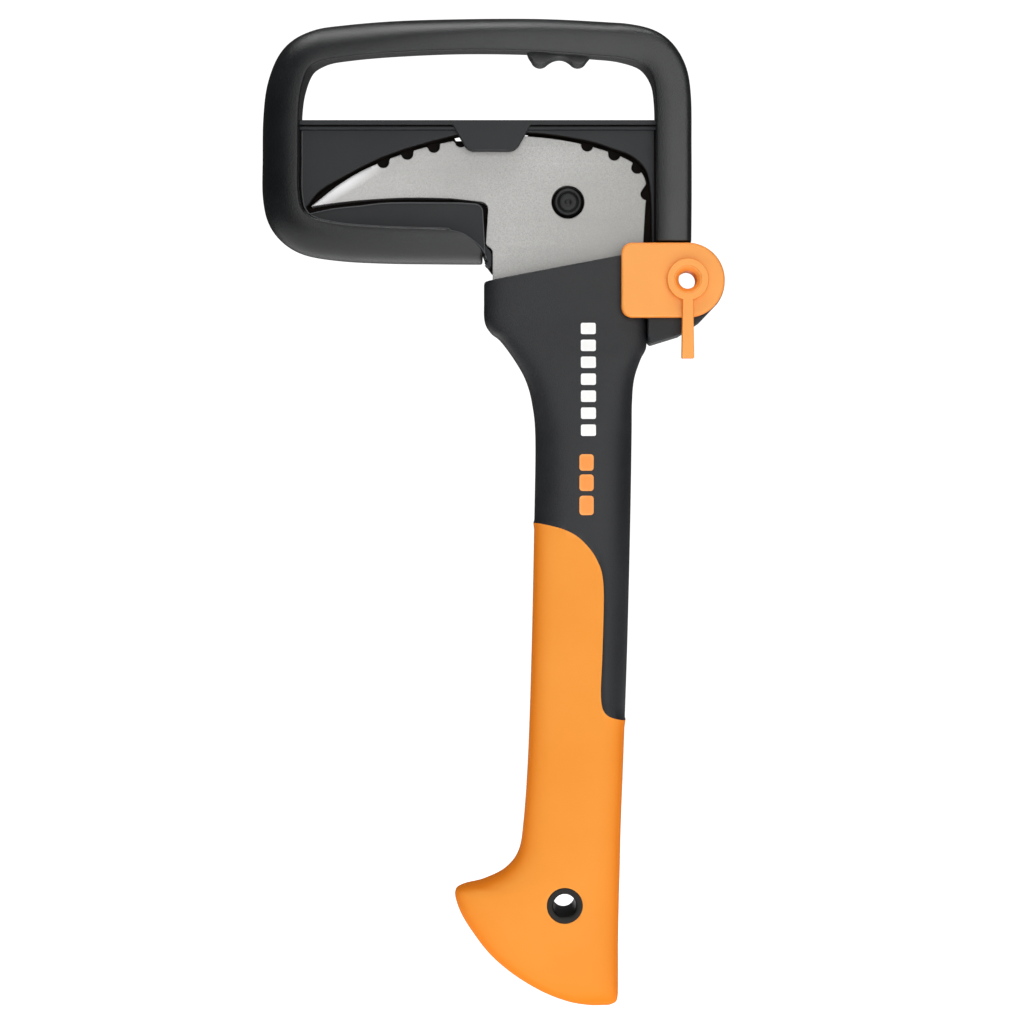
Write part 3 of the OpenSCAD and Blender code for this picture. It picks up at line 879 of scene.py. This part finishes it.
def front_section(half_width, shrink, crest, soft, lean, fullness):
    """Outline of the front half, outer side first: domed face, inner corner, inner wall.

    crest is where the dome is highest, from 0 in the middle towards 1 at the inner wall. soft is
    the inner corner's rounding, lean how far the wall stands out at the front, and fullness how
    square the outer side is.
    """
    w, depth, cut = half_width - shrink, RING_DEPTH - shrink, SPLIT_Y - PARTING
    top = crest * w
    out = [(-wall_width(w, cut) * 0.975, cut), (-wall_width(w, cut), cut - 0.3), (-wall_width(w, 3), 3)]
    dome = superellipse(w + top, depth, fullness, np.linspace(180, 270, 24))
    out += [(u + top, y) for u, y in dome]
    drop = DOME_DROP * (1 - crest)
    rim = w + lean

    def face(u):
        return -depth + drop * ((u - top) / (rim - top)) ** 2

    reach = min(soft, 0.9 * (rim - top))
    out += [(u, face(u)) for u in np.linspace(top, rim - reach, 8)[1:]]
    start = np.array((rim - reach, face(rim - reach)))
    corner = np.array((rim, face(rim)))
    end = np.array((rim - lean * soft / depth, face(rim) + soft))
    for t in np.linspace(0, 1, 7)[1:]:
        out.append(tuple(start * (1 - t) ** 2 + corner * 2 * t * (1 - t) + end * t ** 2))
    side = wall_width(w, cut)
    out += [(w + 0.2 * lean, 0), (wall_width(w, 3), 3), (side, cut - 0.3), (side * 0.975, cut)]
    return np.array(out)


def back_section(half_width, shrink):
    """Outline of the back half, round behind the parting plane."""
    w, depth, cut = half_width - shrink, RING_DEPTH - shrink, SPLIT_Y + PARTING
    start = math.degrees(math.asin((cut / RING_DEPTH) ** (RING_N / 2))) + 3
    arch = superellipse(w, depth, RING_N, np.linspace(start, 180 - start, 48))
    side = wall_width(w, cut)
    return np.vstack([[(side * 0.975, cut), (side, cut + 0.3)], arch,
                      [(-side, cut + 0.3), (-side * 0.975, cut)]])


def ring_shell(name, node, front):
    """One half of the ring, swept along its line, with its ends rounded off."""
    line, tangent, inward = ring_stations(8)
    rings = []
    count = len(line)
    # Index along the line, how much smaller the outline is, and how far it moves along the line.
    stations = [(0, 0.8, 0.0), (0, 0.4, 0.12), (0, 0.12, 0.4), (0, 0.0, 0.8)]
    stations += [(i, 0.0, 0.0) for i in range(1, count - 1)]
    stations += [(count - 1, shrink, -shift) for _, shrink, shift in stations[3::-1]]
    for i, shrink, shift in stations:
        share = i / (count - 1)
        half_width = line[i][2] - SKIN - float(np.interp(share, SLIM_AT, SLIM))
        if front:
            crest = float(np.interp(share, CREST_AT, CREST))
            soft = float(np.interp(share, SOFT_AT, SOFT))
            lean = float(np.interp(share, LEAN_AT, LEAN))
            fullness = float(np.interp(share, DOME_AT, DOME_N))
            s = front_section(half_width, shrink + SKIN, crest, soft, lean, fullness)
        else:
            s = back_section(half_width, shrink + SKIN)
        p = line[i][:2] + tangent[i] * shift
        rings.append(np.column_stack([
            p[0] + inward[i][0] * s[:, 0], s[:, 1], p[1] + inward[i][1] * s[:, 0]]))
    obj = raw_object(name, *loft_mesh(rings))
    if front:
        bite = np.vstack([smooth(JAW_CURL, 4), [(-20, 255.4), (-20, 276), (-46, 276)]])
        cuts = [prism("jaw_bite", bite, -20, SPLIT_Y - PARTING - 1)]
    else:
        profile = [(0, SCREW_SEAT), (COUNTERBORE_R, SCREW_SEAT), (COUNTERBORE_R, COUNTERBORE_END),
                   (0, COUNTERBORE_END)]
        cuts = [raw_object("counterbore", *lathe_mesh(RING_LINE[i][:2], profile, 64))
                for i in SCREW_STATIONS]
    for cut in cuts:
        obj.data = boolean(obj, cut, "DIFFERENCE")
        bpy.data.objects.remove(cut)
    finish_piece(obj, ring_black, TOOL, node, 35, False)


def web_edge(inset):
    """The web's edge along the ring, from the neck of the blade up to the rail."""
    line, _, inward = ring_stations(6)
    keep = [(line[i][:2] + inward[i] * (line[i][2] + inset)) for i in range(len(line))
            if line[i][0] < -46 and line[i][1] < RAIL_TOP]
    curl = smooth(JAW_CURL[1:], 4)[::-1]
    return np.vstack([curl + directions(curl)[1] * inset, keep])


def jaw_edge():
    """The pocket's lower side, from the ring to the neck of the blade."""
    return np.vstack([smooth(JAW_UPPER[1:], 4)[::-1], arc((-35.6, 274.6), 3.3, 92, 0, 6),
                      [(-31.3, 256.6)]])


def web_loop(inset, top, right):
    """The web with the blade's pocket cut out of it, open at the handle."""
    edge = web_edge(inset)
    edge = edge[edge[:, 1] < top - 0.2]
    pocket = smooth(POCKET_UPPER, 6)[::-1]
    return np.vstack([
        edge, [(edge[-1][0], top), (right, top), (right, 262), (34.9, 262), (34.8, 274)],
        pocket[1:], jaw_edge()])


def guard_plate(name, outline, holes, y0, y1, material, **rounding):
    plate(name, outline, holes, y0, y1, material, "guard_plastic", node="blade_cradle", **rounding)


def guard():
    face = resampled(web_loop(GROOVE, 307.3, 35.9), 1.5)
    guard_plate("guard_web_face", face, [], WEB_FRONT, -3.5, guard_black, front=0.45, back=0.05)
    base = resampled(web_loop(-EDGE_BITE, RAIL_TOP - 0.3, 36.5), 1.5)
    # The body shows in the pocket's walls and the groove round the face, in painted shade.
    guard_plate("guard_web_body", base, [], -3.7, FLOOR_FRONT + 0.1, pocket_shade_black, front=0.1, back=0.05)

    # A raised bead along the pocket's lower side and round the web, in a lighter copy of the guard
    # plastic: a painted highlight along its edge.
    edge = web_edge(GROOVE)
    path = np.vstack([jaw_edge(), edge[edge[:, 1] < 307]])
    path = np.array([path[0]] + [p for a, p in zip(path, path[1:]) if math.dist(a, p) > 0.2])
    side = directions(path)[1] * BEAD_WIDTH
    guard_plate("guard_web_bead", np.vstack([path, (path + side)[::-1]]), [],
                WEB_FRONT - 0.25, WEB_FRONT + 0.3, bead_highlight_black, front=0.15, back=0.02)
    # The floor behind the blade, with the slot's window under the tab.
    edge = web_edge(-EDGE_BITE)
    floor = np.vstack([
        edge, [(edge[-1][0], RAIL_TOP - 0.3), (36.5, RAIL_TOP - 0.3), (36.5, 262.2), (33.4, 261.8),
               (-28.9, 250.6), (-31.2, 253.8)]])
    window = rounded([(-44.6, 306.6), (-43.3, 304), (-15.2, 304.8), (-13.6, 307.6)], 0.4, 3)
    guard_plate("guard_floor", resampled(floor, 2), [window], FLOOR_FRONT, GUARD_BACK, guard_black,
                front=0.1, back=0.4)
    # A thin sheet over the floor in painted shade, where the pocket lies in shade.
    shade_sheet_outline = counterclockwise(resampled(floor, 2))
    guard_plate("guard_pocket_shade_sheet", moved_in(shade_sheet_outline, 0.4), [window], FLOOR_FRONT - 0.2,
                FLOOR_FRONT + 0.05, pocket_shade_black, front=0.05, back=0.02)

    # Rail along the top of the web: a lip, a groove below it and a thin step; the base that shows in the
    # groove is in painted shade.
    for name, z0, z1, y0, edge_r, finish in (
            ("guard_rail_lip", 309, RAIL_TOP, RAIL_FRONT, 0.15, guard_black),
            ("guard_rail_step", 307.2, 308.5, -5.6, 0.3, guard_black),
            ("guard_rail_base", 307.3, RAIL_TOP - 0.1, -4.2, 0.1, pocket_shade_black)):
        lip = [(-105.3, z0), (36.5, z0), (36.5, z1), (-105.3, z1)]
        guard_plate(name, resampled(lip, 6), [], y0, GUARD_BACK - 0.1, finish, front=edge_r, back=0.3)

    top = RAIL_TOP - 0.05
    tab = rounded([(-46.2, top), (-44.2, 308.6), (-38.4, 298.7), (-19.4, 298.7), (-13.6, 308.6),
                   (-11.6, top)], [0, 1.5, 4.6, 4.6, 1.5, 0], 8)
    guard_plate("guard_tab", resampled(tab, 1.2), [], RAIL_FRONT - 0.08, -2.7, guard_black,
                front=0.45, back=0.3)

    foot = smooth([(-33.2, 262.6), (-31.9, 261.9), (-30.6, 260.6), (-29.2, 258.8), (-28.9, 257.4)], 3)
    foot = np.vstack([foot, rounded([(-28.9, 254), (-28.9, 252), (-31.4, 253.9), (-32.6, 255.6)],
                                    [0.2, 0.8, 0.8, 0.6], 3)])
    guard_plate("guard_foot", resampled(foot, 0.8), [], -3, GUARD_BACK, guard_black, front=0.4, back=0.4)


def housing():
    seat, floor = -10.2, -7.2
    loop = np.vstack([
        [(50.4, 261.7), (32.95, 261.7)],
        arc((35.55, 224.4), 2.6, 180, 250, 6),
        [(45.8, 225.4), (54, 230.8)],
        arc(hub, 15.07, -38, 80, 40)])
    loop = counterclockwise(resampled(loop, 0.9))
    bore = circle(hub, 5.66)
    guard_plate("guard_hinge_seat", loop, [bore], seat, floor, guard_black, front=0.9, back=0.02)
    inner = moved_in(loop, 2.2)
    guard_plate("guard_hinge_wall", loop, [inner], floor, SPLIT_Y - 0.02, guard_black,
                front=0.02, back=0.5)


def finger_rest():
    lobes = np.vstack([
        [(-14.8, 338.8), (-14.2, 337.2)],
        arc((-9.6, 337), 3.8, 200, 318, 12),
        [(-5.4, 335.4), (-3.8, 336.1)],
        [(-1.9, 336.4), (0, 336.1), (1.6, 335.3)],
        arc((5.5, 337), 3.8, 222, 332, 12),
        [(10, 336.6), (11.4, 338.2)]])
    outline = np.vstack([smooth(lobes, 2), [(11.4, 340.4), (-14.8, 340.4)]])
    y0, y1 = depth_of("finger_rest")
    plate("finger_rest_pad", resampled(outline, 0.6), [], y0, y1, ring_black, "ring_plastic",
          node="finger_rest", front=0.5, back=0.5)


def button():
    centre = centre_of("blade_button")
    front, back = depth_of("blade_button")
    profile = [(0, front + 0.75), (0.7, front + 0.7), (1.1, front + 0.35), (1.6, front + 0.2)]
    profile += [(3.0, front + 0.2), (3.35, front + 0.35), (3.55, front + 0.8), (3.9, front + 0.95),
                (4.15, front + 0.8), (4.3, front + 0.15)]
    profile += fillet((4.85, front + 0.45), 0.45, -90, 0, 5)
    profile += [(5.3, 2.9), (5.3, 3), (3, 3.01), (3, 5.2), (4.6, 5.21), (4.6, back - 0.5)]
    profile += fillet((4.1, back - 0.5), 0.5, 0, 90, 4)
    profile += [(0, back)]
    lathe("blade_button_stud", centre, profile, button_black, node="blade_button")


def screws():
    """Pan-head screws with a six-lobed drive; a row is radius, y and how deep its lobes are."""
    lobes, count, wave_depth, socket = 6, 96, 0.22, 1.1
    front, back = depth_of("cover_screws")
    rows = [(0.0, back - socket, 0), (1.25, back - socket, wave_depth),
            (1.25, back - 0.02, wave_depth), (1.45, back, wave_depth)]
    rows += [(2.1, back, 0), (2.5, back - 0.12, 0), (2.72, back - 0.35, 0),
             (SCREW_HEAD_R, back - 0.7, 0), (SCREW_HEAD_R, SCREW_SEAT, 0),
             (SCREW_R, SCREW_SEAT + 0.01, 0), (SCREW_R, front + 0.8, 0), (0, front, 0)]
    for k, station in enumerate(SCREW_STATIONS, 1):
        centre = RING_LINE[station][:2]
        vertices, faces = lathe_mesh(centre, [(r, y) for r, y, _ in rows], count)
        shaped, at = [], 0
        for radius, y, wave in rows:
            size = 1 if radius < 1e-6 else count
            for i in range(size):
                x, _, z = vertices[at + i]
                stretch = 1 + wave * math.cos(lobes * 2 * math.pi * i / count)
                shaped.append((centre[0] + (x - centre[0]) * stretch, y,
                               centre[1] + (z - centre[1]) * stretch))
            at += size
        build(f"cover_screw_{k}_body", shaped, faces, screw_black,
              node="cover_screws", sharp=35)


# ---------------------------------------------------------------- latch

def latch():
    front, back = depth_of("latch")
    plate_back, plate_front = -10.8, -13.8
    radius, reach, boss, pin, bore = 14.77, 26, 8.2, 5.6, 3.55
    x0 = hub[0] - reach
    corner = 4.2
    outline = np.vstack([
        arc(hub, radius, -90, 90, 48),
        arc((x0 + corner, hub[1] + radius - corner), corner, 90, 180, 10),
        arc((x0 + corner, hub[1] - radius + corner), corner, 180, 270, 10)])
    plate("latch_plate", resampled(outline, 1.0), [circle(hub, 5.0)], plate_front, plate_back,
          latch_orange, "latch_plastic", body=LATCH, node="latch", front=1.2, back=0.4, steps=7)

    # Raised ring and thumb lever in one outline, the lever a little wider towards its free end.
    half_top, half_bottom, mouth = 2.1, 2.45, bore + 1.75
    side = math.degrees(math.asin(half_top / boss))
    bottom = hub[1] - reach - 5
    keyhole = np.vstack([
        arc(hub, boss, -90 + side, 270 - side, 64),
        rounded([(hub[0] - half_top, hub[1] - boss), (hub[0] - half_bottom, bottom),
                 (hub[0] + half_bottom, bottom), (hub[0] + half_top, hub[1] - boss)],
                [0, 0.35, 0.35, 0], 3)[1:-1]])
    plate("latch_lever", resampled(keyhole, 1.0), [circle(hub, mouth)], front, plate_front + 0.9,
          latch_orange, "latch_plastic", body=LATCH, node="latch", front=0.4, back=0.05)

    # Hollow pivot: a countersink under the ring's mouth, then the bore down to the back.
    profile = [(bore, back), (bore, front + 2.2), (bore + 0.2, front + 1.8), (mouth - 0.3, front + 0.45),
               (mouth + 0.25, front + 0.4), (mouth + 0.25, plate_front + 1), (pin, plate_front + 1),
               (pin, back - 0.4), (pin - 0.4, back)]
    lathe("latch_pivot", hub, profile, latch_orange, body=LATCH, node="latch")


def plain_nodes():
    """CAD nodes whose own shape stays: they only take a finish."""
    for node, material in (("core_end_plug", core_black), ("latch_retainer", screw_black),
                           ("latch_washer", button_black)):
        obj = frame["nodes"][node]
        obj.data.materials.clear()
        obj.data.materials.append(material)


blade()
surface = handle()
hang_bush()
marks(surface)
ring_shell("ring_front_half", "ring_front_shell", True)
ring_shell("ring_back_half", "ring_back_shell", False)
guard()
housing()
finger_rest()
button()
screws()
latch()
plain_nodes()

# ---------------------------------------------------------------- studio

FLOOR_Z = -0.056
FLOOR_R = 0.8
CAMERA_AT = (-0.0208, -0.85, 0.1552)
VIEW_HEIGHT = 0.4096
FLOOR_GLOW = 0.86
# The world's light at these shares of its width, and how bright the camera sees it.
FILL_ACROSS = (-0.5, 0.7)
FILL_LEFT = 0.06
FILL_RIGHT = 0.14
SKY_SEEN = 1.1
# Each softbox: where it is, where it aims, its width and height, and its watts.
KEY_LIGHT = ((0.19, -1.05, 0.30), (0.0, 0.0, 0.28), 1.1, 1.1, 8.1)
TOP_LIGHT = ((-0.16, -0.2, 1.15), (-0.02, 0.0, 0.2), 1.0, 0.5, 8)


def floor():
    vertices = [(FLOOR_R * math.cos(a), FLOOR_R * math.sin(a), FLOOR_Z)
                for a in np.linspace(0, 2 * math.pi, 128, endpoint=False)]
    mesh = bpy.data.meshes.new("studio_floor")
    mesh.from_pydata(vertices, [], [tuple(range(len(vertices)))])
    obj = added("studio_floor", mesh)
    n = Nodes("pale_floor")
    cloud = n.noise(3, 3)
    n.link(n.mix(cloud, (0.93, 0.93, 0.93, 1), (0.95, 0.95, 0.95, 1)), n.shader.inputs["Base Color"])
    n.shader.inputs["Roughness"].default_value = 0.9
    n.shader.inputs["Specular IOR Level"].default_value = 0.1
    n.shader.inputs["Emission Color"].default_value = (1, 1, 1, 1)
    n.shader.inputs["Emission Strength"].default_value = FLOOR_GLOW
    mesh.materials.append(n.material)


def softbox(name, at, aim, width, height, watts):
    light = bpy.data.lights.new(name, "AREA")
    light.shape = "RECTANGLE"
    light.size = width
    light.size_y = height
    light.energy = watts
    obj = added(name, light)
    obj.location = at
    obj.rotation_euler = (Vector(aim) - Vector(at)).to_track_quat("-Z", "Y").to_euler()


def world():
    """Pale to the eye; as light it is dim on the left and brighter on the right."""
    sky = bpy.data.worlds.new("studio_world")
    sky.use_nodes = True
    tree = sky.node_tree
    fill = tree.nodes["Background"]
    fill.inputs["Color"].default_value = (1, 1, 1, 1)
    across = tree.nodes.new("ShaderNodeSeparateXYZ")
    tree.links.new(tree.nodes.new("ShaderNodeTexCoord").outputs["Generated"], across.inputs["Vector"])
    strength = tree.nodes.new("ShaderNodeMapRange")
    strength.inputs["From Min"].default_value = FILL_ACROSS[0]
    strength.inputs["From Max"].default_value = FILL_ACROSS[1]
    strength.inputs["To Min"].default_value = FILL_LEFT
    strength.inputs["To Max"].default_value = FILL_RIGHT
    tree.links.new(across.outputs["X"], strength.inputs["Value"])
    tree.links.new(strength.outputs["Result"], fill.inputs["Strength"])
    seen = tree.nodes.new("ShaderNodeBackground")
    seen.inputs["Color"].default_value = (1, 1, 1, 1)
    seen.inputs["Strength"].default_value = SKY_SEEN
    path = tree.nodes.new("ShaderNodeLightPath")
    choose = tree.nodes.new("ShaderNodeMixShader")
    tree.links.new(path.outputs["Is Camera Ray"], choose.inputs["Fac"])
    tree.links.new(fill.outputs["Background"], choose.inputs[1])
    tree.links.new(seen.outputs["Background"], choose.inputs[2])
    tree.links.new(choose.outputs["Shader"], tree.nodes["World Output"].inputs["Surface"])
    bpy.context.scene.world = sky


def camera():
    data = bpy.data.cameras.new("camera")
    data.lens = data.sensor_width / 2 / (VIEW_HEIGHT / 2 / -CAMERA_AT[1])
    data.clip_start, data.clip_end = 0.01, 50
    obj = added("camera", data)
    obj.location = CAMERA_AT
    obj.rotation_euler = (math.radians(90), 0, 0)
    bpy.context.scene.camera = obj


floor()
softbox("key", *KEY_LIGHT)
softbox("top", *TOP_LIGHT)
world()
camera()
bpy.context.scene.view_settings.view_transform = "Standard"
